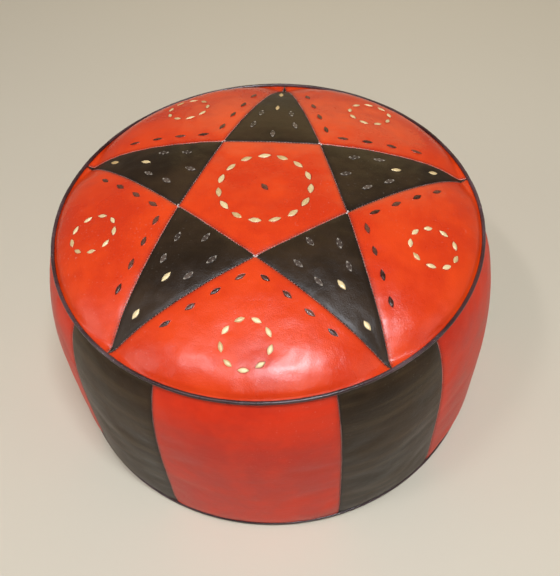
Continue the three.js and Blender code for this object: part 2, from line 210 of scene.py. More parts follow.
def leatherAttributes(piece, lays, distances, runs):
    # where each point lay before it was bent, and its place beside the nearest seam
    layer = piece.data.attributes.new("lay", "FLOAT_VECTOR", "POINT")
    layer.data.foreach_set("vector", [value for lay in lays for value in lay])
    floatAttribute(piece, "seamDistance", distances)
    floatAttribute(piece, "seamRun", runs)


def fit(piece, material, slotName, body, node=None):
    piece.data.materials.clear()
    piece.data.materials.append(material)
    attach(piece, body)
    if node:
        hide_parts(node)


# small helpers for building nodes

def feed(tree, socket, value):
    # another socket is linked, a number or a colour is set on the socket itself
    if isinstance(value, bpy.types.NodeSocket):
        tree.links.new(value, socket)
    elif value is not None:
        socket.default_value = value


def addNode(tree, kind, inputs=None, **settings):
    node = tree.nodes.new("ShaderNode" + kind)
    for label, value in settings.items():
        setattr(node, label, value)
    for label, value in (inputs or {}).items():
        feed(tree, node.inputs[label], value)
    return node


def addMath(tree, operation, a, b=None, c=None):
    return addNode(tree, "Math", {0: a, 1: b, 2: c}, operation=operation).outputs[0]


def addRange(tree, value, low, high, toLow=0.0, toHigh=1.0):
    inputs = {"Value": value, "From Min": low, "From Max": high, "To Min": toLow, "To Max": toHigh}
    return addNode(tree, "MapRange", inputs, interpolation_type="SMOOTHSTEP").outputs["Result"]


def addNoise(tree, vector, scale, detail=2.0, rough=0.5):
    inputs = {"Vector": vector, "Scale": scale, "Detail": detail, "Roughness": rough}
    return addNode(tree, "TexNoise", inputs).outputs["Fac"]


def addBump(tree, height, strength, distance):
    inputs = {"Strength": strength, "Distance": distance, "Height": height}
    return addNode(tree, "Bump", inputs).outputs["Normal"]


def addAttribute(tree, name, output="Fac"):
    return addNode(tree, "Attribute", attribute_name=name).outputs[output]


def mixColour(tree, factor, a, b):
    # colour a, with colour b over it by the factor
    return addNode(tree, "Mix", {0: factor, 6: a, 7: b}, data_type="RGBA").outputs[2]


def coverWith(tree, colour, mask, share, cover):
    return mixColour(tree, addMath(tree, "MULTIPLY", mask, share), colour, cover)


def newMaterial(name):
    material = bpy.data.materials.new(name)
    material.use_nodes = True
    tree = material.node_tree
    return material, tree, tree.nodes["Principled BSDF"].inputs


# camera, light and floor

view = {
    "place": (0.0945, -0.6134, 0.9058),
    "heading": 97.8,        # degrees, counter-clockwise from +X
    "down": 51.56,
    "roll": -3.485,
    "lens": 47.125,         # mm, on a sensor 36 mm wide
    "sensor": 36,
}


def addCamera():
    data = bpy.data.cameras.new("poufCamera")
    data.sensor_width = view["sensor"]
    data.lens = view["lens"]
    camera = bpy.data.objects.new("poufCamera", data)
    bpy.context.collection.objects.link(camera)
    heading, down = math.radians(view["heading"]), math.radians(view["down"])
    ahead = Vector((
        math.cos(heading) * math.cos(down), math.sin(heading) * math.cos(down), -math.sin(down)
    ))
    roll = Matrix.Rotation(math.radians(view["roll"]), 3, "Z")
    turn = ahead.to_track_quat("-Z", "Y").to_matrix() @ roll
    camera.location = view["place"]
    camera.rotation_euler = turn.to_euler()
    bpy.context.scene.camera = camera


studio = {
    "softboxes": {         # place, target, width and depth, power, colour
        "overheadStrip": ((0.34, -0.72, 2.5), (0.05, -0.2, 0.27), (0.7, 0.09), 43, (0.84, 0.91, 1)),
        "overheadLeft": ((-0.85, -0.66, 2.4), (-0.05, -0.2, 0.27), (0.4, 0.15), 9, (0.98, 0.94, 1)),
        "cameraSoftbox": ((0.35, -1.9, 2.1), (0, 0, 0.15), (1.1, 0.9), 11, (1, 0.96, 0.92)),
        "leftSoftbox": ((-2.3, -0.9, 1.7), (0, 0, 0.15), (1.4, 1.2), 11, (1, 0.97, 0.95)),
        "rightSoftbox": ((2.3, -0.7, 1.5), (0, 0, 0.15), (1.4, 1.2), 5, (1, 0.96, 0.92)),
        "warmBack": ((0.1, 2.3, 1.2), (0, 0, 0.3), (2.2, 1.2), 8, (1, 0.74, 0.3)),
        "underneath": ((0.2, -0.5, -1.5), (0, 0, 0), (1.4, 1.4), 26, (1, 0.97, 0.94)),
    },
    "air": 0.17,
    "airColour": (0.95, 0.93, 0.9, 1),
    "backdrop": 0.6,       # what is seen past the end of the floor
    "floor": (0.66, 0.59, 0.465, 1),
    "floorRough": 0.6,
    "floorHeight": -0.0002,
    "floorReach": 15,
    "opening": 0.266,      # hole in the floor under the pouf, so that the base is lit too
}


def addSoftbox(name, place, target, size, power, colour):
    data = bpy.data.lights.new(name, "AREA")
    data.shape = "RECTANGLE"
    data.size, data.size_y = size
    data.energy = power
    data.color = colour
    lamp = bpy.data.objects.new(name, data)
    bpy.context.collection.objects.link(lamp)
    lamp.location = place
    lamp.rotation_euler = (Vector(target) - Vector(place)).to_track_quat("-Z", "Y").to_euler()


def addAir():
    world = bpy.data.worlds.new("studioAir")
    world.use_nodes = True
    tree = world.node_tree
    seen = addNode(tree, "LightPath").outputs["Is Camera Ray"]
    sky = tree.nodes["Background"]
    sky.inputs["Color"].default_value = studio["airColour"]
    strength = addMath(tree, "MULTIPLY_ADD", seen, studio["backdrop"] - studio["air"], studio["air"])
    tree.links.new(strength, sky.inputs["Strength"])
    bpy.context.scene.world = world


def addFloor():
    floor = addPrimitive("studioFloor", "circle", vertices=64, radius=studio["opening"],
                         location=(0, 0, studio["floorHeight"]))
    startEdit()
    wider = studio["floorReach"] / studio["opening"]
    bpy.ops.mesh.extrude_edges_move()
    bpy.ops.transform.resize(value=(wider, wider, 1))
    bpy.ops.mesh.select_all(action="SELECT")
    bpy.ops.mesh.normals_make_consistent(inside=False)
    endEdit()
    if floor.data.polygons[0].normal.z < 0:
        floor.data.flip_normals()
    settle(floor)
    paint, tree, shader = newMaterial("paleFloor")
    shader["Base Color"].default_value = studio["floor"]
    shader["Roughness"].default_value = studio["floorRough"]
    # clear from below, so that the base can be looked at
    either = addNode(tree, "MixShader", {
        "Fac": addNode(tree, "NewGeometry").outputs["Backfacing"],
        1: tree.nodes["Principled BSDF"].outputs["BSDF"],
        2: addNode(tree, "BsdfTransparent").outputs["BSDF"]})
    tree.links.new(either.outputs["Shader"], tree.nodes["Material Output"].inputs["Surface"])
    floor.data.materials.append(paint)


addCamera()
for name, values in studio["softboxes"].items():
    addSoftbox(name, *values)
addAir()
addFloor()
bpy.context.scene.view_settings.view_transform = "Standard"
print("pouf: camera and studio ready")

# finishes: groups that several of them share, then the materials


def newGroup(name, inputs, outputs):
    # a number makes a number socket, anything else a vector socket
    tree = bpy.data.node_groups.new(name, "ShaderNodeTree")
    for label, value in inputs.items():
        kind = "NodeSocketFloat" if isinstance(value, float) else "NodeSocketVector"
        socket = tree.interface.new_socket(label, in_out="INPUT", socket_type=kind)
        if value is not None:
            socket.default_value = value
    for label in outputs:
        tree.interface.new_socket(label, in_out="OUTPUT", socket_type="NodeSocketFloat")
    return tree, tree.nodes.new("NodeGroupInput").outputs, tree.nodes.new("NodeGroupOutput").inputs


def makeGrainGroup():
    # fine pores with shallow folds between them
    tree, given, result = newGroup(
        "leatherGrain", {"Vector": None, "Pore Scale": 900.0, "Fold Scale": 60.0, "Fold Share": 0.5},
        ["Height", "Mottle"])
    warp = addNode(tree, "TexNoise", {"Scale": 300.0, "Vector": given["Vector"]}).outputs["Color"]
    shifted = addNode(tree, "VectorMath", {0: warp, 1: (0.002, 0.002, 0.002), 2: given["Vector"]},
                      operation="MULTIPLY_ADD").outputs[0]
    pores = addNode(tree, "TexVoronoi", {"Vector": shifted, "Scale": given["Pore Scale"]},
                    feature="SMOOTH_F1")
    folds = addNoise(tree, given["Vector"], given["Fold Scale"], 5.0, 0.62)
    height = addMath(tree, "ADD", addMath(tree, "SUBTRACT", 1.0, pores.outputs["Distance"]),
                     addMath(tree, "MULTIPLY", folds, given["Fold Share"]))
    feed(tree, result["Height"], height)
    feed(tree, result["Mottle"], addNoise(tree, given["Vector"], 14.0, 4.0, 0.6))
    return tree


def makeSeamGroup():
    # worn edge, a band that grows darker towards the seam from 6 mm out, and needle holes beside a seam
    tree, given, result = newGroup(
        "seamMarks", {"Distance": 1.0, "Run": 0.0, "Vector": None, "Worn Width": 0.0012, "Pitch": 0.0034},
        ["Worn", "Seam Dark", "Needle"])
    patches = addRange(tree, addNoise(tree, given["Vector"], 55.0, 3.0, 0.6), 0.3, 0.62)
    near = addRange(tree, given["Distance"], given["Worn Width"], 0.0)
    feed(tree, result["Worn"], addMath(tree, "MULTIPLY", near, patches))
    feed(tree, result["Seam Dark"], addRange(tree, given["Distance"], 0.006, 0.0))
    wave = addMath(tree, "FRACT", addMath(tree, "DIVIDE", given["Run"], given["Pitch"]))
    hole = addRange(tree, addMath(tree, "ABSOLUTE", addMath(tree, "SUBTRACT", wave, 0.5)), 0.26, 0.18)
    line = addMath(tree, "ABSOLUTE", addMath(tree, "SUBTRACT", given["Distance"], 0.0014))
    feed(tree, result["Needle"], addMath(tree, "MULTIPLY", hole, addRange(tree, line, 0.0006, 0.0003)))
    return tree


def makeStreakGroup():
    # long faint brush marks that slant across a panel
    tree, given, result = newGroup(
        "brushMarks", {"Vector": None, "Slant": (0, 0, 0.42), "Stretch": (5, 75, 5)}, ["Streak"])
    turned = addNode(tree, "Mapping", {
        "Vector": given["Vector"], "Rotation": given["Slant"], "Scale": given["Stretch"]}).outputs["Vector"]
    feed(tree, result["Streak"], addRange(tree, addNoise(tree, turned, 1.0, 4.0, 0.6), 0.42, 0.72))
    return tree


def makeDustSheenGroup():
    # scattered pale specks and soft rubbed patches; on the piping the pale patches are partly a painted
    # highlight
    tree, given, result = newGroup(
        "rubSheenAndDust", {"Vector": None, "Speck Scale": 420.0, "Amount": 0.5}, ["Speck", "Rub And Sheen"])
    speck = addNoise(tree, given["Vector"], given["Speck Scale"], 1.0, 0.4)
    patch = addNoise(tree, given["Vector"], 9.0, 3.0, 0.65)
    sparse = addMath(tree, "MULTIPLY", addRange(tree, speck, 0.69, 0.76), given["Amount"])
    feed(tree, result["Speck"], addMath(tree, "MULTIPLY", sparse, addRange(tree, patch, 0.4, 0.7)))
    rubbedAndSheen = addRange(tree, patch, 0.45, 0.75)
    feed(tree, result["Rub And Sheen"], addMath(tree, "MULTIPLY", rubbedAndSheen, given["Amount"]))
    return tree


grainGroup = makeGrainGroup()
seamGroup = makeSeamGroup()
dustSheenGroup = makeDustSheenGroup()
streakGroup = makeStreakGroup()


def placeGroup(tree, group, inputs):
    return addNode(tree, "Group", inputs, node_tree=group).outputs


def makeLeather(name, look):
    material, tree, shader = newMaterial(name)
    place = addNode(tree, "TexCoord").outputs["Object"]
    grain = placeGroup(tree, grainGroup, {
        "Vector": place, "Pore Scale": look["poreScale"], "Fold Scale": look["foldScale"],
        "Fold Share": look["foldShare"]})
    dustAndSheen = placeGroup(tree, dustSheenGroup, {"Vector": place, "Amount": look["dustAndSheen"]})
    colour = mixColour(tree, addRange(tree, grain["Mottle"], 0.35, 0.68), look["deep"], look["light"])
    # rubbed patches, which on the piping are partly a painted highlight
    colour = coverWith(tree, colour, dustAndSheen["Rub And Sheen"], look["rubAndSheenShare"], look["rubAndSheen"])
    colour = mixColour(tree, dustAndSheen["Speck"], colour, look["speck"])
    if look["streak"]:
        streaks = placeGroup(tree, streakGroup, {"Vector": addAttribute(tree, "lay", "Vector")})
        colour = coverWith(tree, colour, streaks["Streak"], look["streak"], look["rubAndSheen"])
    if look["seam"]:
        seam = placeGroup(tree, seamGroup, {
            "Distance": addAttribute(tree, "seamDistance"), "Run": addAttribute(tree, "seamRun"),
            "Vector": place, "Worn Width": look["wornWidth"]})
        # darker towards each seam, from 6 mm out
        colour = coverWith(tree, colour, seam["Seam Dark"], look["seamDarkShare"], look["seamDark"])
        colour = coverWith(tree, colour, seam["Worn"], look["wornShare"], look["worn"])
        colour = coverWith(tree, colour, seam["Needle"], look["needleShare"], look["seamDark"])
    feed(tree, shader["Base Color"], colour)
    feed(tree, shader["Roughness"],
         addRange(tree, grain["Mottle"], 0.3, 0.7, look["roughLow"], look["roughHigh"]))
    shader["Specular IOR Level"].default_value = look["specular"]
    shader["Coat Weight"].default_value = look["coat"]
    shader["Coat Roughness"].default_value = look["coatRough"]
    feed(tree, shader["Normal"], addBump(tree, grain["Height"], look["bump"], look["bumpDepth"]))
    return material


redLook = {
    "deep": (0.64, 0.034, 0.003, 1), "light": (0.78, 0.054, 0.003, 1), "rubAndSheen": (0.74, 0.095, 0.03, 1),
    "speck": (0.85, 0.40, 0.32, 1), "worn": (0.80, 0.28, 0.20, 1), "seamDark": (0.14, 0.012, 0.006, 1),
    "rubAndSheenShare": 0.18, "dustAndSheen": 0.25, "seamDarkShare": 0.35, "needleShare": 0.7, "wornShare": 0.8,
    "wornWidth": 0.0012, "streak": 0.0, "roughLow": 0.25, "roughHigh": 0.35, "specular": 0.36,
    "coat": 0.32, "coatRough": 0.24, "poreScale": 1100.0, "foldScale": 95.0, "foldShare": 2.6,
    "bump": 0.3, "bumpDepth": 0.0006, "seam": True,
}
blackLook = dict(
    redLook, deep=(0.0165, 0.0076, 0.0022, 1), light=(0.035, 0.0165, 0.0052, 1),
    rubAndSheen=(0.066, 0.038, 0.017, 1),
    speck=(0.22, 0.19, 0.16, 1), worn=(0.20, 0.15, 0.13, 1), seamDark=(0.006, 0.004, 0.003, 1),
    rubAndSheenShare=0.3, wornShare=0.4, roughLow=0.34, roughHigh=0.46, specular=0.34, coat=0.06, streak=0.3,
)
# the piping's pale mauve rub patches are partly scuffs and partly a painted highlight
pipingLook = dict(
    redLook, deep=(0.026, 0.009, 0.010, 1), light=(0.060, 0.024, 0.026, 1), rubAndSheen=(0.24, 0.15, 0.17, 1),
    speck=(0.4, 0.33, 0.31, 1), rubAndSheenShare=0.6, roughLow=0.22, roughHigh=0.34, coat=0.5, dustAndSheen=0.6,
    foldScale=160.0, foldShare=2.2, seam=False,
)
baseLook = dict(
    redLook, deep=(0.030, 0.016, 0.010, 1), light=(0.055, 0.030, 0.018, 1), rubAndSheen=(0.13, 0.09, 0.06, 1),
    speck=(0.25, 0.2, 0.16, 1), rubAndSheenShare=0.5, roughLow=0.55, roughHigh=0.72, coat=0.0, seam=False,
)
redLeather = makeLeather("redLeather", redLook)
blackLeather = makeLeather("blackLeather", dict(blackLook, streak=0.1))
sideRed = makeLeather("redSideLeather", dict(
    redLook, deep=(0.56, 0.020, 0.004, 1), light=(0.74, 0.034, 0.005, 1), rubAndSheen=(0.52, 0.060, 0.035, 1),
    roughLow=0.36, roughHigh=0.46, specular=0.26, coat=0.0, streak=0.2))
sideBlack = makeLeather("blackSideLeather", dict(
    blackLook, rubAndSheen=(0.088, 0.054, 0.024, 1), roughLow=0.38, roughHigh=0.50, specular=0.24, streak=0.5))
pipingLeather = makeLeather("pipingLeather", pipingLook)
baseLeather = makeLeather("baseLeather", baseLook)


def makeLace(name, look):
    # flat lace with fine ribs, one tone to each lozenge and another along its edge: on the gold and dark
    # lozenges the edge tone is a painted shadow where the lozenge sinks into its slit, on the grey ones a
    # worn pale outline
    material, tree, shader = newMaterial(name)
    place = addNode(tree, "TexCoord").outputs["Object"]
    mottle = addNoise(tree, place, 320.0, 3.0, 0.6)
    tone = addMath(tree, "ADD", addMath(tree, "MULTIPLY", addAttribute(tree, "tone"), 0.5),
                   addMath(tree, "MULTIPLY", mottle, 0.6))
    colour = mixColour(tree, addRange(tree, tone, 0.2, 0.85), look["deep"], look["light"])
    edge = addRange(tree, addAttribute(tree, "edge"), look["edgeFrom"], 1.0)
    feed(tree, shader["Base Color"], mixColour(tree, edge, colour, look["edge"]))
    shader["Metallic"].default_value = look["metal"]
    feed(tree, shader["Roughness"], addRange(tree, mottle, 0.3, 0.7, look["roughLow"], look["roughHigh"]))
    ribs = addNode(tree, "TexWave", {"Scale": 190.0, "Distortion": 2.5, "Vector": place})
    feed(tree, shader["Normal"], addBump(tree, ribs.outputs["Fac"], look["bump"], 0.0003))
    return material


# the dark brown edge tone of the gold lace is a painted shadow at the foot of each lozenge
goldLace = makeLace("goldLace", {
    "deep": (0.60, 0.39, 0.16, 1), "light": (0.88, 0.70, 0.38, 1), "edge": (0.30, 0.10, 0.03, 1),
    "edgeFrom": 0.45, "metal": 0.1, "roughLow": 0.3, "roughHigh": 0.45, "bump": 0.2})
# the near-black edge tone of the dark lace is a painted shadow in the slit around each lozenge
darkLace = makeLace("darkLace", {
    "deep": (0.036, 0.009, 0.004, 1), "light": (0.165, 0.055, 0.032, 1), "edge": (0.008, 0.002, 0.001, 1),
    "edgeFrom": 0.1, "metal": 0.0, "roughLow": 0.2, "roughHigh": 0.35, "bump": 0.35})
greyLace = makeLace("greyLace", {
    "deep": (0.035, 0.022, 0.016, 1), "light": (0.12, 0.085, 0.065, 1), "edge": (0.42, 0.36, 0.29, 1),
    "edgeFrom": 0.3, "metal": 0.0, "roughLow": 0.25, "roughHigh": 0.4, "bump": 0.35})


def makePlain(name, look):
    # mottled finish for thread, cloth, metal and filling
    material, tree, shader = newMaterial(name)
    place = addNode(tree, "TexCoord").outputs["Object"]
    mottle = addNoise(tree, place, look["scale"], 4.0, 0.6)
    feed(tree, shader["Base Color"],
         mixColour(tree, addRange(tree, mottle, 0.32, 0.7), look["deep"], look["light"]))
    feed(tree, shader["Roughness"], addRange(tree, mottle, 0.3, 0.7, look["roughLow"], look["roughHigh"]))
    shader["Metallic"].default_value = look["metal"]
    height = mottle
    if look["weave"]:
        weave = addNode(tree, "TexWave", {"Scale": look["weaveScale"], "Vector": place},
                        bands_direction=look["weave"])
        height = addMath(tree, "ADD", weave.outputs["Fac"], addMath(tree, "MULTIPLY", mottle, 0.5))
    feed(tree, shader["Normal"], addBump(tree, height, look["bump"], look["bumpDepth"]))
    return material


threadLook = {
    "deep": (0.22, 0.08, 0.07, 1), "light": (0.60, 0.34, 0.30, 1), "roughLow": 0.6, "roughHigh": 0.8,
    "metal": 0.0, "scale": 120.0, "weave": None, "weaveScale": 1.0, "bump": 0.4, "bumpDepth": 0.0003,
}
seamThread = makePlain("seamThread", threadLook)
paleScrap = makePlain("paleScrap", dict(
    threadLook, deep=(0.55, 0.38, 0.34, 1), light=(0.88, 0.80, 0.76, 1)))
zipCloth = makePlain("zipCloth", dict(
    threadLook, deep=(0.012, 0.010, 0.009, 1), light=(0.035, 0.030, 0.026, 1),
    roughLow=0.8, roughHigh=0.95, weave="X", weaveScale=420.0, bump=0.6))
zipBrass = makePlain("zipBrass", dict(
    threadLook, deep=(0.46, 0.30, 0.12, 1), light=(0.72, 0.52, 0.26, 1),
    roughLow=0.25, roughHigh=0.5, metal=1.0, scale=300.0, bump=0.15))
cottonFill = makePlain("cottonFill", dict(
    threadLook, deep=(0.66, 0.60, 0.50, 1), light=(0.85, 0.80, 0.70, 1),
    roughLow=0.85, roughHigh=1.0, scale=60.0, bump=0.8, bumpDepth=0.001))
print("pouf: finishes mixed")

# stuffing, swollen by simulation against the sewn lines

filling = {
    "depth": 0.0034,         # under the outside of the leather
    "voxel": 0.0068,
    "pressure": 4.0,
    "frames": 14,
    "parts": (0.38, 0.3, 0.32),   # shares of the ball that make the top, the side and the base
    "cloth": {
        "quality": 5, "mass": 0.3, "tension_stiffness": 18, "compression_stiffness": 18,
        "shear_stiffness": 8, "bending_stiffness": 1.2, "shrink_min": -0.012, "use_pressure": True,
    },
    "baseHeld": 0.006,       # all below this height is sewn down
    "rimBand": 0.004,
    "sewnWidth": 0.009,
    "mostMove": 0.006,
    "quickSwell": 0.003,
    "quickFrom": 0.02,
    "feelerReach": 0.03,
    "feelers": ((0, 0, 0), (0.0007, 0.0004, 0.0003), (-0.0005, 0.0006, -0.0006)),
    "swellRange": (-0.003, 0.008),
    "pocket": (0.172, 0.031, 0.0125),   # half length, half width and height of the room over the zip
    "keepMiddle": (0, 0, 0.12),         # the stuffing is held under the leather from here
    "keepReach": 0.5,
    "keepFrom": 0.01,
    "leastSlant": 0.5,
    "keepFeelers": ((0, 0, 0), (0.0011, 0.0013, 0.0009), (-0.0013, -0.0009, 0.0012)),
}


def outlinePoint(t):
    # t runs from the crown at 0 over the rim and the base seam to the middle of the base at 1
    depth = filling["depth"]
    rimDepth = pouf["rimRadius"] - depth
    top, side, base = filling["parts"]
    sideEnd = round(top + side, 2)
    if t < top:
        radius = rimDepth * t / top
        return radius, domeHeight(radius * pouf["rimRadius"] / rimDepth) - depth
    if t < sideEnd:
        share = (t - top) / side
        z = pouf["rimHeight"] - depth - share * (pouf["rimHeight"] - 2 * depth)
        return sideRadius(z) - depth, z
    share = (t - sideEnd) / base
    return (sideRadius(depth) - depth) * (1 - share), depth


def seamPull(point):
    # 1 on a sewn line, falling to 0 away from it
    radius, z = math.hypot(point.x, point.y), point.z
    if z < filling["baseHeld"]:
        return 1.0
    reach = [abs(radius - pouf["rimRadius"] + filling["depth"]) + abs(z - pouf["rimHeight"])]
    if z > pouf["rimHeight"] - filling["rimBand"]:
        reach.append(nearestTopSeam(Vector((point.x, point.y)))[0])
    else:
        reach.append(toNearest(math.atan2(point.y, point.x), sideSeams) * radius)
        reach.append(z - filling["rimBand"])
    return max(0.0, 1 - min(reach) / filling["sewnWidth"])


def swell(piece):
    sewn = piece.vertex_groups.new(name="sewn")
    for vertex in piece.data.vertices:
        sewn.add([vertex.index], seamPull(vertex.co), "REPLACE")
    rest = [vertex.co.copy() for vertex in piece.data.vertices]
    cloth = piece.modifiers.new("swell", "CLOTH")
    for label, value in filling["cloth"].items():
        setattr(cloth.settings, label, value)
    cloth.settings.uniform_pressure_force = filling["pressure"]
    cloth.settings.vertex_group_mass = "sewn"
    cloth.settings.effector_weights.gravity = 0
    cloth.collision_settings.use_collision = False
    cloth.point_cache.frame_start = 1
    cloth.point_cache.frame_end = filling["frames"]
    for frameNumber in range(1, filling["frames"] + 1):
        bpy.context.scene.frame_set(frameNumber)
    applyAll(piece)
    bpy.context.scene.frame_set(1)
    moves = []
    for vertex, start in zip(piece.data.vertices, rest):
        move = vertex.co - start
        if move.length > filling["mostMove"]:
            move.length = filling["mostMove"]
        moves.append(move.length)
        vertex.co = start + move
    print("pouf: filling swelled up to", round(max(moves) * 1000, 2), "mm, on average",
          round(sum(moves) / len(moves) * 1000, 2), "mm")


def makeFilling():
    piece = addPrimitive("pouf_filling", "uv_sphere", segments=120, ring_count=80, radius=1)
    for vertex in piece.data.vertices:
        theta = math.acos(max(-1, min(1, vertex.co.z)))
        angle = math.atan2(vertex.co.y, vertex.co.x)
        radius, z = outlinePoint(theta / math.pi)
        vertex.co = (radius * math.cos(angle), radius * math.sin(angle), z)
    addModifier(piece, "evenMesh", "REMESH", mode="VOXEL", voxel_size=filling["voxel"])
    applyAll(piece)
    swell(piece)
    addModifier(piece, "even", "SMOOTH", factor=0.5, iterations=2)
    addModifier(piece, "finer", "SUBSURF", levels=1, render_levels=1)
    applyAll(piece)
    return piece


fillingPiece = makeFilling()
fillingTree = BVHTree.FromObject(fillingPiece, bpy.context.evaluated_depsgraph_get())


def swellAt(point, normal):
    # how far the stuffing pushes the leather out here, as the middle one of a few close feelers
    reach = filling["feelerReach"]
    found = []
    for shift in filling["feelers"]:
        hit = fillingTree.ray_cast(point + normal * reach + Vector(shift), -normal)
        if hit[0] is not None and hit[3] < 2 * reach:
            found.append(reach + filling["depth"] - hit[3])
    if not found:
        return 0.0
    least, most = filling["swellRange"]
    return max(least, min(most, sorted(found)[len(found) // 2]))


# leather of the top

topPanels = {
    "cuts": 70,
    "edge": 0.00018,          # air to the seam line
    "round": 0.0011,
    "taut": 0.45,             # share of the stuffing's swell that the stretched top follows
    "heldAtRim": 0.006,
    "seamDip": 0.0008,
    "dipWidth": 0.0032,
    "slitDip": 0.0005,
    "slitReach": 0.006,
    "slitAround": 0.016,
    "shoulder": 0.0052,       # how far a petal puffs up just inside the rim
    "shoulderPlace": 0.020,
    "shoulderDegrees": 26,    # how far from a star tip the shoulder has its full height
    "tipDip": 0.0045,         # how far a star tip is drawn down into the rim
    "tipReach": 0.030,
    "lumps": 0.00045,
    "lumpScales": (45, 95),
    "tipTurn": 1.6,           # air at the ends of a petal, in edge widths
}

# plan of the slits: radii, steps and offsets are shares of the rim radius, sizes are metres
slitPlan = {
    "centreRing": {"count": 15, "radius": 0.209, "size": (0.0155, 0.0068)},
    "middle": {"angle": -math.pi / 4, "size": (0.013, 0.0058)},
    "petalRing": {"count": 9, "out": 0.79, "radius": 0.1, "size": (0.0122, 0.0056)},
    "petalRow": {"count": 4, "out": 0.507, "aside": 0.052, "step": (0.0685, 0.0965),
                 "size": (0.0138, 0.0056)},
    "starDark": {"first": 0.382, "pairs": ((0.453, 0.103), (0.567, 0.0755)), "size": (0.0138, 0.0056)},
    "starGold": {"out": (0.625, 0.815), "size": (0.0138, 0.0058)},
}


def planSlits():
    # every slit is a plan place, length, width, angle and kind
    rim = pouf["rimRadius"]
    ring = slitPlan["centreRing"]
    slits = {"centre_ring_lace": [
        (polar(ring["radius"] * rim, turn), *ring["size"], turn + math.pi / 2, "gold")
        for turn in [k * math.tau / ring["count"] for k in range(ring["count"])]]}
    middle = slitPlan["middle"]
    slits["middle_lace"] = [(Vector((0, 0)), *middle["size"], middle["angle"], "dark")]
    ring, row = slitPlan["petalRing"], slitPlan["petalRow"]
    stepOut, stepAside = row["step"]
    slope = math.atan2(stepAside, stepOut)
    for i, axis in enumerate(petalAngles):
        out, aside = polar(1, axis), polar(1, axis + math.pi / 2)
        centre = polar(ring["out"] * rim, axis)
        turns = [axis + k * math.tau / ring["count"] for k in range(ring["count"])]
        slits[f"petal_ring_lace_{i + 1}"] = [
            (centre + polar(ring["radius"] * rim, turn), *ring["size"], turn + math.pi / 2, "gold")
            for turn in turns]
        slits[f"petal_row_lace_{i + 1}"] = [
            (out * (row["out"] + k * stepOut) * rim + aside * side * (row["aside"] + k * stepAside) * rim,
             *row["size"], axis + side * slope, "dark")
            for side in (-1, 1) for k in range(row["count"])]
    dark, gold = slitPlan["starDark"], slitPlan["starGold"]
    (nearOut, nearAside), (farOut, farAside) = dark["pairs"]
    lean = math.atan2(nearAside - farAside, farOut - nearOut)
    places = [(dark["first"], 0, 0)]
    places += [(u, side * v, -side * lean) for side in (-1, 1) for u, v in dark["pairs"]]
    for i, axis in enumerate(tipAngles):
        out, aside = polar(1, axis), polar(1, axis + math.pi / 2)
        slits[f"point_dark_lace_{i + 1}"] = [
            (out * u * rim + aside * v * rim, *dark["size"], axis + turn, "grey")
            for u, v, turn in places]
        slits[f"point_gold_lace_{i + 1}"] = [
            (out * u * rim, *gold["size"], axis, "gold") for u in gold["out"]]
    return slits


slits = planSlits()
allSlits = [slit for group in slits.values() for slit in group]
slitTree = KDTree(len(allSlits))
for index, slit in enumerate(allSlits):
    slitTree.insert((slit[0].x, slit[0].y, 0), index)
slitTree.balance()


def topLift(place, normal, distance):
    # everything that moves the leather off the plain dome
    radius = math.hypot(place.x, place.y)
    angle = math.atan2(place.y, place.x)
    rimDistance = max(0.0, pouf["rimRadius"] - radius)
    fromTip = toNearest(angle, tipAngles)
    between = math.sin(min(1.0, fromTip / math.radians(topPanels["shoulderDegrees"])) * math.pi / 2)
    share = rimDistance / topPanels["shoulderPlace"]
    lift = topPanels["shoulder"] * share * math.exp(1 - share) * between
    tipGap = math.hypot(rimDistance, fromTip * radius)
    lift -= topPanels["tipDip"] * math.exp(-(tipGap / topPanels["tipReach"]) ** 2)
    lift -= topPanels["seamDip"] * math.exp(-(distance / topPanels["dipWidth"]) ** 2)
    broad, fine = topPanels["lumpScales"]
    lift += topPanels["lumps"] * (noise.noise(place * broad) + 0.6 * noise.noise(place * fine))
    lift += topPanels["taut"] * swellAt(place, normal)
    return lift * min(1.0, rimDistance / topPanels["heldAtRim"])


def topPoint(x, y):
    place = Vector((x, y, domeHeight(math.hypot(x, y))))
    normal = domeNormal(x, y)
    distance, run = nearestTopSeam(Vector((x, y)))
    lift = topLift(place, normal, distance)
    for found in slitTree.find_range((x, y, 0), topPanels["slitAround"]):
        lift -= topPanels["slitDip"] * math.exp(-(found[2] / topPanels["slitReach"]) ** 2)
    return place + normal * lift, normal, distance, run


def shrunk(corners, distance):
    # every corner moved in so that each edge steps back by one distance
    result = []
    for i, corner in enumerate(corners):
        into = (corner - corners[i - 1]).normalized()
        out = (corners[(i + 1) % len(corners)] - corner).normalized()
        side = Vector((-into.y, into.x)) + Vector((-out.y, out.x))
        stretch = 2 / side.length_squared if side.length_squared > 0.05 else 1
        result.append(corner + side * distance * stretch)
    return result


def makeTopPanel(name, node, corners, arc, material, slotName):
    sides = len(corners)
    panel = addPrimitive(name, "circle", vertices=sides, radius=1,
                         fill_type="NGON" if sides == 3 else "TRIFAN")
    inset = shrunk(corners, topPanels["edge"])
    middle = sum(inset, Vector((0, 0))) / sides
    ring = [v for v in panel.data.vertices if v.co.length > 0.5]
    ring.sort(key=lambda v: math.atan2(v.co.y, v.co.x))
    order = sorted(inset, key=lambda c: math.atan2(c.y - middle.y, c.x - middle.x))
    for vertex, corner in zip(ring, order):
        vertex.co = (corner.x, corner.y, 0)
    for vertex in panel.data.vertices:
        if vertex not in ring and sides > 3:
            vertex.co = (middle.x, middle.y, 0)
    startEdit()
    bpy.ops.mesh.subdivide(number_cuts=topPanels["cuts"] if sides == 3 else topPanels["cuts"] // 2)
    endEdit()
    if arc is not None:
        bendToRim(panel, inset, arc)
    distances, runs, lays = [], [], []
    for vertex in panel.data.vertices:
        lays.append((vertex.co.x, vertex.co.y, 0))
        place, normal, distance, run = topPoint(vertex.co.x, vertex.co.y)
        vertex.co = place
        distances.append(distance)
        runs.append(run)
    leatherAttributes(panel, lays, distances, runs)
    finishPanel(panel, material, slotName, node)


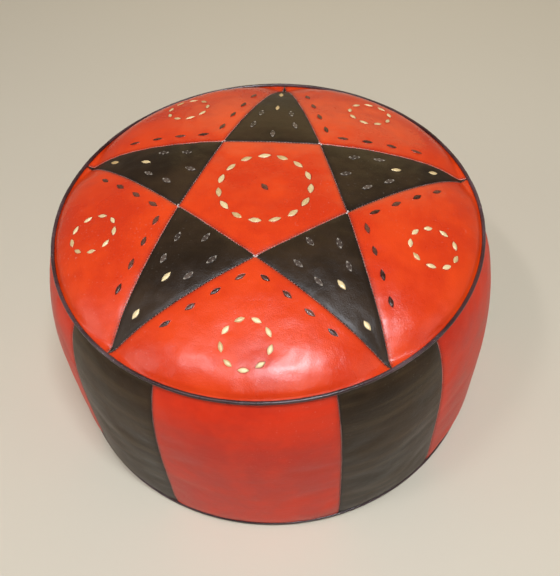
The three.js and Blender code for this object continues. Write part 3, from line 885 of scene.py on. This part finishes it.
def bendToRim(panel, corners, arc):
    # corners are the inner corner and the two tips; the far side swings out to the rim circle
    apex, first, second = corners
    arcRadius, firstAngle, sweep = arc
    edgeOne, edgeTwo = first - apex, second - apex
    across = edgeOne.x * edgeTwo.y - edgeOne.y * edgeTwo.x
    for vertex in panel.data.vertices:
        offset = Vector((vertex.co.x, vertex.co.y)) - apex
        b = (offset.x * edgeTwo.y - offset.y * edgeTwo.x) / across
        c = (edgeOne.x * offset.y - edgeOne.y * offset.x) / across
        weight = b + c
        if weight < 1e-6:
            continue
        target = polar(arcRadius, firstAngle + sweep * (c / weight))
        moved = apex + (target - apex) * weight
        vertex.co = (moved.x, moved.y, 0)


def finishPanel(panel, material, slotName, node):
    addModifier(panel, "leatherThickness", "SOLIDIFY",
                thickness=pouf["leather"], offset=-1, use_even_offset=True)
    addModifier(panel, "turnedEdge", "BEVEL", width=topPanels["round"], segments=3,
                limit_method="ANGLE", angle_limit=math.radians(55))
    applyAll(panel)
    smoothShade(panel, 60)
    fit(panel, material, slotName, "pouf", node)
    madePanels.append(panel)


madePanels = []
for i in range(5):
    corners = [pentagonCorners[i - 1], starTips[i], pentagonCorners[i]]
    makeTopPanel(f"star_point_leather_{i + 1}", f"star_point_{i + 1}", corners, None,
                 blackLeather, "leather_black")
for i in range(5):
    corners = [pentagonCorners[i], starTips[i], starTips[(i + 1) % 5]]
    tipAir = topPanels["edge"] / pouf["tipRadius"] * topPanels["tipTurn"]
    arc = (pouf["tipRadius"], tipAngles[i] + tipAir, math.tau / 5 - 2 * tipAir)
    makeTopPanel(f"petal_leather_{i + 1}", f"petal_{i + 1}", corners, arc, redLeather, "leather_red")
makeTopPanel("centre_pentagon_leather", "centre_pentagon", pentagonCorners, None,
             redLeather, "leather_red")
print("pouf: top leather cut")

# leather of the side

sidePanels = {
    "rows": 72, "columnStep": 0.0042, "top": 0.2592, "bottom": 0.0052,
    "taut": 0.7, "heldAtRim": 0.008, "dip": 0.001, "dipWidth": 0.004,
    "dents": 0.0011, "dentScales": (3.1, 9),
    "gathers": 0.0006, "gatherScales": (17, 20), "gatherReach": 0.03,
    "swellFrom": 0.012,       # below this height the side doesn't follow the stuffing
}


def fromEnds(z):
    return min(z - 0.003, pouf["rimHeight"] - z)


def sideUneven(angle, z):
    # shallow dents and the gathers under the rim
    ring = polar(1, angle)
    around, up = sidePanels["dentScales"]
    dents = sidePanels["dents"] * noise.noise(Vector((ring.x * around, ring.y * around, z * up)))
    around, up = sidePanels["gatherScales"]
    gathers = sidePanels["gathers"] * noise.noise(Vector((ring.x * around, ring.y * around, z * up)))
    return dents + gathers * math.exp(-(fromEnds(z) / sidePanels["gatherReach"]) ** 2)


def sideSwell(place, normal):
    return sidePanels["taut"] * swellAt(place, normal) if place.z > sidePanels["swellFrom"] else 0.0


def sidePoint(angle, z):
    radius = sideRadius(z)
    place = Vector((radius * math.cos(angle), radius * math.sin(angle), z))
    normal = sideNormal(angle, z)
    distance = toNearest(angle, sideSeams) * radius
    lift = sideSwell(place, normal)
    lift -= sidePanels["dip"] * math.exp(-(distance / sidePanels["dipWidth"]) ** 2)
    lift += sideUneven(angle, z)
    return place + normal * lift * min(1.0, fromEnds(z) / sidePanels["heldAtRim"]), distance


def makeSidePanel(name, node, axis, width, material, slotName):
    columns = max(8, round(width * pouf["bulge"] / sidePanels["columnStep"]))
    panel = addPrimitive(name, "grid", x_subdivisions=columns, y_subdivisions=sidePanels["rows"], size=2)
    distances, runs, lays = [], [], []
    edge = topPanels["edge"]
    for vertex in panel.data.vertices:
        z = sidePanels["bottom"] + (vertex.co.y + 1) / 2 * (sidePanels["top"] - sidePanels["bottom"])
        half = width / 2 - edge / sideRadius(z)
        lays.append(((axis + vertex.co.x * half) * pouf["bulge"], z, axis))
        vertex.co, distance = sidePoint(axis + vertex.co.x * half, z)
        distances.append(distance)
        runs.append(z)
    leatherAttributes(panel, lays, distances, runs)
    finishPanel(panel, material, slotName, node)


for i in range(5):
    makeSidePanel(f"side_leather_black_{i + 1}", f"side_panel_black_{i + 1}", tipAngles[i],
                  2 * halfBlack, sideBlack, "leather_black")
    makeSidePanel(f"side_leather_red_{i + 1}", f"side_panel_red_{i + 1}", petalAngles[i],
                  math.tau / 5 - 2 * halfBlack, sideRed, "leather_red")
print("pouf: side leather cut")

# piping on the rim and base seams

pipingSizes = {
    "rim_piping": {"radius": 0.0022, "wobble": 0.00035, "uneven": 0.09},
    "base_piping": {"radius": 0.0016, "wobble": 0.0002, "uneven": 0.09},
}


def makePiping(name, node, size):
    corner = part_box(node)[1]
    turn = corner.x - size["radius"]
    height = corner.z - size["radius"] * math.sin(math.pi / 3)
    bead = addPrimitive(name, "torus", major_segments=360, minor_segments=14,
                        major_radius=turn, minor_radius=size["radius"])
    for vertex in bead.data.vertices:
        angle = math.atan2(vertex.co.y, vertex.co.x)
        ring = polar(turn, angle)
        core = Vector((ring.x, ring.y, 0))
        offset = vertex.co - core
        wave = noise.noise(Vector((math.cos(angle) * 9, math.sin(angle) * 9, height * 40)))
        fine = noise.noise(Vector((math.cos(angle) * 60, math.sin(angle) * 60, 2.0)))
        thick = 1 + size["uneven"] * fine
        lift = size["wobble"] * wave
        vertex.co = core + offset * thick + Vector((0, 0, height + lift)) + core * lift
    smoothShade(bead, 80)
    fit(bead, pipingLeather, "leather_piping", "pouf", node)


for node, size in pipingSizes.items():
    makePiping(node + "_bead", node, size)
print("pouf: piping laid")

# lozenges of lace in their slits

lozenge = {
    "round": 16,
    "sink": 0.0012,
    "lipRadius": 0.0003,
    "lipBand": 0.2,
    "lipGap": (0.0009, 0.0007),
    "lipSpread": 1.6,
    "outline": (1.9, 0.95),   # powers that give the pointed ends
    "proud": 0.0001,
    "bareEdge": {"gold": 0.93, "dark": 0.8, "grey": 0.7},   # past this share the edge tone starts: a painted shadow on gold and dark lozenges, a worn pale outline on grey ones
    "lift": 0.0002,
    "lean": 0.09,             # most that a lozenge lies askew, in radians
    "lengthRange": (0.93, 1.04),
    "widthRange": (0.9, 1.06),
    # each step of the shape from its foot to its middle: rise, share of the length and width before it
    "gold": [(0.00045, 0.90, 0.86), (0.00035, 0.82, 0.76), (0.0002, 0.68, 0.62)],
    "dark": [(0.0004, 0.95, 0.90), (-0.0001, 0.88, 0.76), (0.0003, 0.80, 0.72), (0.0002, 0.55, 0.5)],
    "grey": [(0.0004, 0.95, 0.90), (0.0, 0.90, 0.82), (-0.00045, 0.95, 0.92), (0.0002, 0.6, 0.5)],
}


def lensPoint(angle, length, width):
    x = math.cos(angle)
    sharp, full = lozenge["outline"]
    y = math.copysign((1 - abs(x) ** sharp) ** full, math.sin(angle)) if abs(x) < 0.9999 else 0.0
    return Vector((x * length / 2, y * width / 2, 0))


def makeLozenge(length, width, kind):
    pad = addPrimitive("lozengePad", "cylinder", vertices=lozenge["round"], radius=1, depth=1)
    for vertex in pad.data.vertices:
        flat = lensPoint(math.atan2(vertex.co.y, vertex.co.x), length, width)
        vertex.co = (flat.x, flat.y, lozenge["proud"] if vertex.co.z > 0 else -lozenge["sink"])
    startEdit("DESELECT")
    endEdit()
    for face in pad.data.polygons:
        face.select = face.normal.z > 0.9
    bpy.ops.object.mode_set(mode="EDIT")
    bpy.ops.mesh.select_mode(type="FACE")
    for rise, lengthShare, widthShare in lozenge[kind]:
        bpy.ops.mesh.extrude_region_move(TRANSFORM_OT_translate={"value": (0, 0, rise)})
        bpy.ops.transform.resize(value=(lengthShare, widthShare, 1), center_override=(0, 0, 0))
    bpy.ops.mesh.poke(offset=lozenge["proud"])
    endEdit()
    # the foot of each pad is marked for its edge tone, a painted shadow on gold and dark lozenges
    edges = []
    for vertex in pad.data.vertices:
        flat = lensPoint(math.atan2(vertex.co.y, vertex.co.x), length, width)
        share = math.hypot(vertex.co.x, vertex.co.y) / max(flat.length, 1e-6)
        edges.append(1.0 if share > lozenge["bareEdge"][kind] else 0.0)
    floatAttribute(pad, "edge", edges)
    smoothShade(pad, 50)
    return pad


def makeLip(length, width):
    # leather rolled up along the slit
    endGap, sideGap = lozenge["lipGap"]
    lip = addPrimitive("slitLip", "torus", major_segments=lozenge["round"], minor_segments=6,
                       major_radius=1, minor_radius=lozenge["lipBand"])
    for vertex in lip.data.vertices:
        angle = math.atan2(vertex.co.y, vertex.co.x)
        aside = (math.hypot(vertex.co.x, vertex.co.y) - 1) / lozenge["lipBand"]
        core = lensPoint(angle, length + endGap, width + sideGap)
        outward = Vector((core.x / (length * length), core.y / (width * width), 0)).normalized()
        height = vertex.co.z / lozenge["lipBand"] * lozenge["lipRadius"]
        vertex.co = core + outward * aside * lozenge["lipRadius"] * lozenge["lipSpread"]
        vertex.co.z = height
    smoothShade(lip, 60)
    return lip


def standOn(place, forward, normal):
    # a place, with x along the surface towards forward and z straight out of it
    side = normal.cross(forward).normalized()
    return Matrix.Translation(place) @ Matrix((side.cross(normal), side, normal)).transposed().to_4x4()


def standOnTop(centre, angle):
    place, normal, distance, run = topPoint(centre.x, centre.y)
    forward = Vector((math.cos(angle), math.sin(angle), 0))
    return standOn(place + normal * lozenge["lift"], forward, normal)


laceFinish = {
    "gold": (goldLace, "lace_gold"), "dark": (darkLace, "lace_dark"), "grey": (greyLace, "lace_dark"),
}
patterns = {}
lips = {"red": [], "star": []}


def patternFor(length, width, kind):
    key = (round(length, 5), round(width, 5), kind)
    if key not in patterns:
        patterns[key] = (makeLozenge(length, width, kind), makeLip(length, width))
    return patterns[key]


uneven = random.Random(11)
for node, places in slits.items():
    pads = []
    for centre, length, width, angle, kind in places:
        pad, lip = patternFor(length, width, kind)
        askew = uneven.uniform(-lozenge["lean"], lozenge["lean"])
        frameHere = standOnTop(centre, angle + askew)
        long, wide = uneven.uniform(*lozenge["lengthRange"]), uneven.uniform(*lozenge["widthRange"])
        sizeHere = Matrix.Diagonal((long, wide, 1, 1))
        copy = copyTo(pad, frameHere @ sizeHere)
        floatAttribute(copy, "tone", [uneven.random()] * len(copy.data.vertices))
        pads.append(copy)
        owner = "star" if node.startswith("point") else "red"
        lips[owner].append(copyTo(lip, frameHere @ sizeHere))
    lace = joinPieces(pads, node + "_lozenges")
    fit(lace, *laceFinish[places[0][4]], "pouf", node)

for pad, lip in patterns.values():
    bpy.data.objects.remove(pad)
    bpy.data.objects.remove(lip)


redLip = makeLeather("redSlitEdge", dict(redLook, deep=(0.40, 0.02, 0.006, 1), seam=False))
blackLip = makeLeather("blackSlitEdge", dict(
    blackLook, light=(0.06, 0.04, 0.03, 1), seam=False, streak=0.0))
for owner, material, slotName in (("red", redLip, "leather_red"), ("star", blackLip, "leather_black")):
    fit(joinPieces(lips[owner], owner + "_slit_edges"), material, slotName, "pouf")
print("pouf: lace set in", len(allSlits), "slits")

# stitches along the seams

stitch = {
    "pitch": 0.0036, "length": 0.0021, "radius": 0.00033, "sink": 0.00015, "droop": 0.0003, "taper": 0.3,
    "clearOfTip": 0.007, "sideStart": 0.008, "clearOfRim": 0.003,
}


def makeStitch():
    one = addPrimitive("oneStitch", "cylinder", vertices=6, radius=stitch["radius"],
                       depth=stitch["length"], rotation=(0, math.pi / 2, 0))
    settle(one)
    startEdit()
    bpy.ops.mesh.subdivide(number_cuts=1)
    endEdit()
    for vertex in one.data.vertices:
        share = abs(vertex.co.x) / (stitch["length"] / 2)
        vertex.co.z -= stitch["droop"] * share ** 2
        vertex.co.y *= 1 - stitch["taper"] * share
    smoothShade(one, 70)
    return one


def sewTop(one):
    made = []
    for start, end in topSeams:
        length = (end - start).length
        count = int(length / stitch["pitch"])
        for k in range(count):
            plan = start + (end - start) * ((k + 0.5) / count)
            if min((plan - tip).length for tip in starTips) < stitch["clearOfTip"]:
                continue
            place = Vector((plan.x, plan.y, domeHeight(plan.length)))
            normal = domeNormal(plan.x, plan.y)
            forward = Vector((end.x - start.x, end.y - start.y, 0)).normalized()
            lift = topLift(place, normal, 0) - stitch["sink"]
            made.append(copyTo(one, standOn(place + normal * lift, forward, normal)))
    return made


def sewSide(one):
    made = []
    count = int((sidePanels["top"] - stitch["sideStart"]) / stitch["pitch"])
    for seam in sideSeams:
        for k in range(count):
            z = stitch["sideStart"] + (k + 0.5) * stitch["pitch"]
            if z > sidePanels["top"] - stitch["clearOfRim"]:
                continue
            radius = sideRadius(z)
            place = Vector((radius * math.cos(seam), radius * math.sin(seam), z))
            normal = sideNormal(seam, z)
            lift = sideSwell(place, normal) - sidePanels["dip"] - stitch["sink"] + sideUneven(seam, z)
            made.append(copyTo(one, standOn(place + normal * lift, Vector((0, 0, 1)), normal)))
    return made


cornerScrap = {"size": (0.0016, 0.0008, 0.0005), "apart": 0.0015, "uneven": 0.35, "turn": 0.7}


def makeScraps():
    # ends of the sewing thread and hide folded over at the corners of the pentagon
    made = []
    for index, corner in enumerate(pentagonCorners):
        axis = petalAngles[index]
        for part in (-1, 1):
            scrap = addPrimitive("cornerScrap", "uv_sphere", segments=12, ring_count=8, radius=1)
            for vertex in scrap.data.vertices:
                rough = 1 + cornerScrap["uneven"] * noise.noise(vertex.co * 1.7 + Vector((index, part, 0)))
                width, depth, height = cornerScrap["size"]
                vertex.co = Vector((vertex.co.x * width, vertex.co.y * depth, vertex.co.z * height)) * rough
            plan = corner + polar(part * cornerScrap["apart"], axis + math.pi / 2)
            scrap.data.transform(standOnTop(plan, axis + math.pi / 2 + part * cornerScrap["turn"]))
            smoothShade(scrap, 80)
            made.append(scrap)
    return made


oneStitch = makeStitch()
sewing = {
    "top_seam_stitches": (sewTop(oneStitch), seamThread),
    "side_seam_stitches": (sewSide(oneStitch), seamThread),
    "corner_scraps": (makeScraps(), paleScrap),
}
for name, (made, material) in sewing.items():
    fit(joinPieces(made, name), material, "leather_piping", "pouf")
bpy.data.objects.remove(oneStitch)
print("pouf: seams stitched")

# base and zip


def dressedCopy(node, material, slotName, rounding, body):
    # the frame's own shape with its loose faces merged and its edges eased
    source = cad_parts[node]
    piece = copyTo(source, source.matrix_world)
    piece.name = node + "_finished"
    makeActive(piece)
    startEdit()
    bpy.ops.mesh.remove_doubles(threshold=0.00002)
    bpy.ops.mesh.dissolve_limited(angle_limit=math.radians(2))
    endEdit()
    addModifier(piece, "easedEdge", "BEVEL", width=rounding, segments=2,
                limit_method="ANGLE", angle_limit=math.radians(35))
    applyAll(piece)
    smoothShade(piece, 35)
    fit(piece, material, slotName, body, node)


zipPieces = {
    "base_panel_front": (baseLeather, "leather_base", 0.0006, "pouf"),
    "base_panel_back": (baseLeather, "leather_base", 0.0006, "pouf"),
    "zip_facing_front": (baseLeather, "leather_base", 0.0006, "pouf"),
    "zip_facing_back": (baseLeather, "leather_base", 0.0006, "pouf"),
    "zip_tape_front": (zipCloth, "zip_tape", 0.0002, "pouf"),
    "zip_tape_back": (zipCloth, "zip_tape", 0.0002, "pouf"),
    "zip_top_stop_front": (zipBrass, "zip_metal", 0.0003, "pouf"),
    "zip_top_stop_back": (zipBrass, "zip_metal", 0.0003, "pouf"),
    "zip_bottom_stop": (zipBrass, "zip_metal", 0.0003, "pouf"),
    "zip_slider": (zipBrass, "zip_metal", 0.00018, "slider"),
    "zip_pull": (zipBrass, "zip_metal", 0.00018, "pull"),
}
for node, values in zipPieces.items():
    dressedCopy(node, *values)

zipTeeth = {
    "pitch": 0.00375, "head": 0.0023, "root": 0.0013, "rounding": 0.00022,
    "cord": 0.3, "cordInset": 0.3, "cordRounding": 0.0003,
}


def makeTooth(low, high, inner):
    # one cast tooth, wider at the head that looks at the other row
    tooth = addPrimitive("oneTooth", "cube", size=1)
    for vertex in tooth.data.vertices:
        share = vertex.co.y + 0.5
        width = zipTeeth["head"] if (share > 0.5) == (inner > 0) else zipTeeth["root"]
        rise = vertex.co.z + 0.5
        vertex.co = (
            vertex.co.x * width, low.y + share * (high.y - low.y), low.z + rise * (high.z - low.z))
    addModifier(tooth, "castEdge", "BEVEL", width=zipTeeth["rounding"], segments=1)
    applyAll(tooth)
    smoothShade(tooth, 50)
    return tooth


def makeToothCord(low, high, inner):
    # the cord along the tape that the teeth are clamped on
    cord = addPrimitive("toothCord", "cube", size=1)
    depth = (high.y - low.y) * zipTeeth["cord"]
    start = low.y if inner > 0 else high.y - depth
    height = (high.z - low.z) * zipTeeth["cordInset"]
    for vertex in cord.data.vertices:
        vertex.co = (
            low.x + (vertex.co.x + 0.5) * (high.x - low.x),
            start + (vertex.co.y + 0.5) * depth,
            low.z + height + (vertex.co.z + 0.5) * (high.z - low.z - 2 * height),
        )
    addModifier(cord, "roundCord", "BEVEL", width=zipTeeth["cordRounding"], segments=2)
    applyAll(cord)
    smoothShade(cord, 50)
    return cord


for name, inner in (("front", 1), ("back", -1)):
    low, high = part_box("zip_teeth_" + name)
    tooth = makeTooth(low, high, inner)
    row = [makeToothCord(low, high, inner)]
    count = int((high.x - low.x - zipTeeth["head"]) / zipTeeth["pitch"])
    begin = (low.x + high.x - count * zipTeeth["pitch"]) / 2
    for k in range(count + 1):
        row.append(copyTo(tooth, Matrix.Translation((begin + k * zipTeeth["pitch"], 0, 0))))
    bpy.data.objects.remove(tooth)
    teeth = joinPieces(row, f"zip_teeth_{name}_finished")
    fit(teeth, zipBrass, "zip_metal", "pouf", "zip_teeth_" + name)
print("pouf: base and zip fitted")

# the stuffing keeps under the leather and gets its room over the zip


def keepUnder(piece, panels, depth):
    # no part of the stuffing comes closer than one depth to the outside of the leather
    shell = joinPieces([copyTo(panel, Matrix.Identity(4)) for panel in panels], "leatherShell")
    tree = BVHTree.FromObject(shell, bpy.context.evaluated_depsgraph_get())
    bpy.data.objects.remove(shell)
    middle = Vector(filling["keepMiddle"])
    reach = filling["keepReach"]
    for vertex in piece.data.vertices:
        if vertex.co.z < filling["keepFrom"]:
            continue
        outward = (vertex.co - middle).normalized()
        nearest = None
        for shift in filling["keepFeelers"]:
            hit = tree.ray_cast(middle + outward * reach + Vector(shift), -outward)
            if hit[0] is not None and hit[3] < 0.8 * reach:
                slant = max(filling["leastSlant"], abs(hit[1].dot(outward)))
                most = reach - hit[3] - depth / slant
                nearest = most if nearest is None else min(nearest, most)
        if nearest is not None and (vertex.co - middle).length > nearest:
            vertex.co = middle + outward * nearest


keepUnder(fillingPiece, madePanels, filling["depth"])

halfLength, halfWidth, roomHeight = filling["pocket"]
for vertex in fillingPiece.data.vertices:
    if abs(vertex.co.x) < halfLength and abs(vertex.co.y) < halfWidth and vertex.co.z < roomHeight:
        vertex.co.z = roomHeight
smoothShade(fillingPiece, 60)
fit(fillingPiece, cottonFill, "stuffing", "pouf", "stuffing")
print("pouf: stuffing in place")
